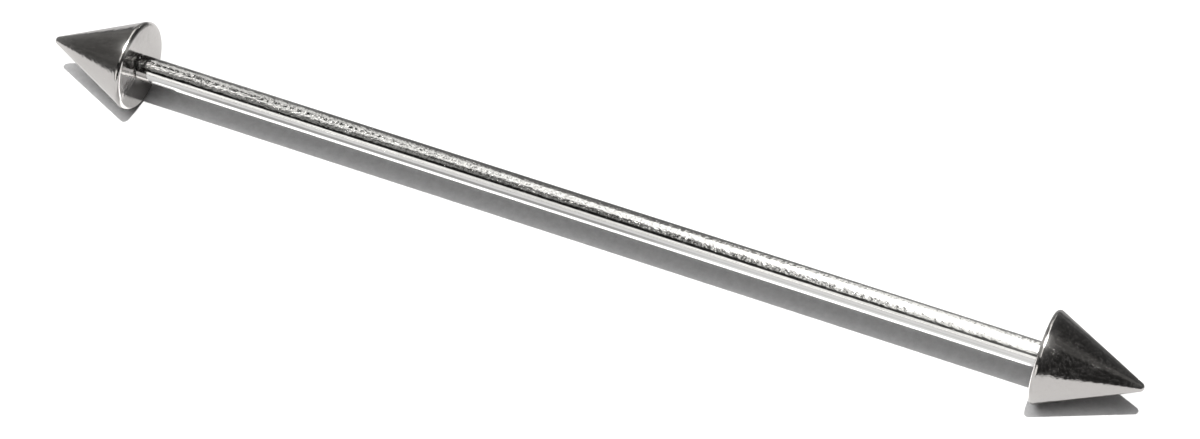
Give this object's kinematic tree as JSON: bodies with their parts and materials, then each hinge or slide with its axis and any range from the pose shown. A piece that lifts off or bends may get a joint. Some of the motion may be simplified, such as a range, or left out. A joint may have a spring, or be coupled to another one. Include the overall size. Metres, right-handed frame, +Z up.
{
  "type": "industrial barbell",
  "caption": "Straight polished steel ear bar with a pointed cone screwed on each threaded end.",
  "frame": {"origin": "on the surface that the barbell lies on, below the middle of the bar", "axes": "+X along the bar towards the right cone, +Z up from the surface"},
  "size_m": [0.0534, 0.0042, 0.0043],
  "materials": {
    "bar_steel": "mirror polished steel with fine lengthwise buffing marks",
    "cone_steel": "mirror polished steel with faint handling marks"
  },
  "bodies": {
    "bar": {"bar": "bar_steel"},
    "left_cone": {"left_cone": "cone_steel"},
    "right_cone": {"right_cone": "cone_steel"}
  },
  "joints": [
    {"name": "left_cone_unscrew", "type": "slide", "parent": "bar", "child": "left_cone", "axis": [-1, 0, 0], "range_m": [0, 0.007]},
    {"name": "right_cone_unscrew", "type": "slide", "parent": "bar", "child": "right_cone", "axis": [1, 0, 0], "range_m": [0, 0.007]}
  ]
}
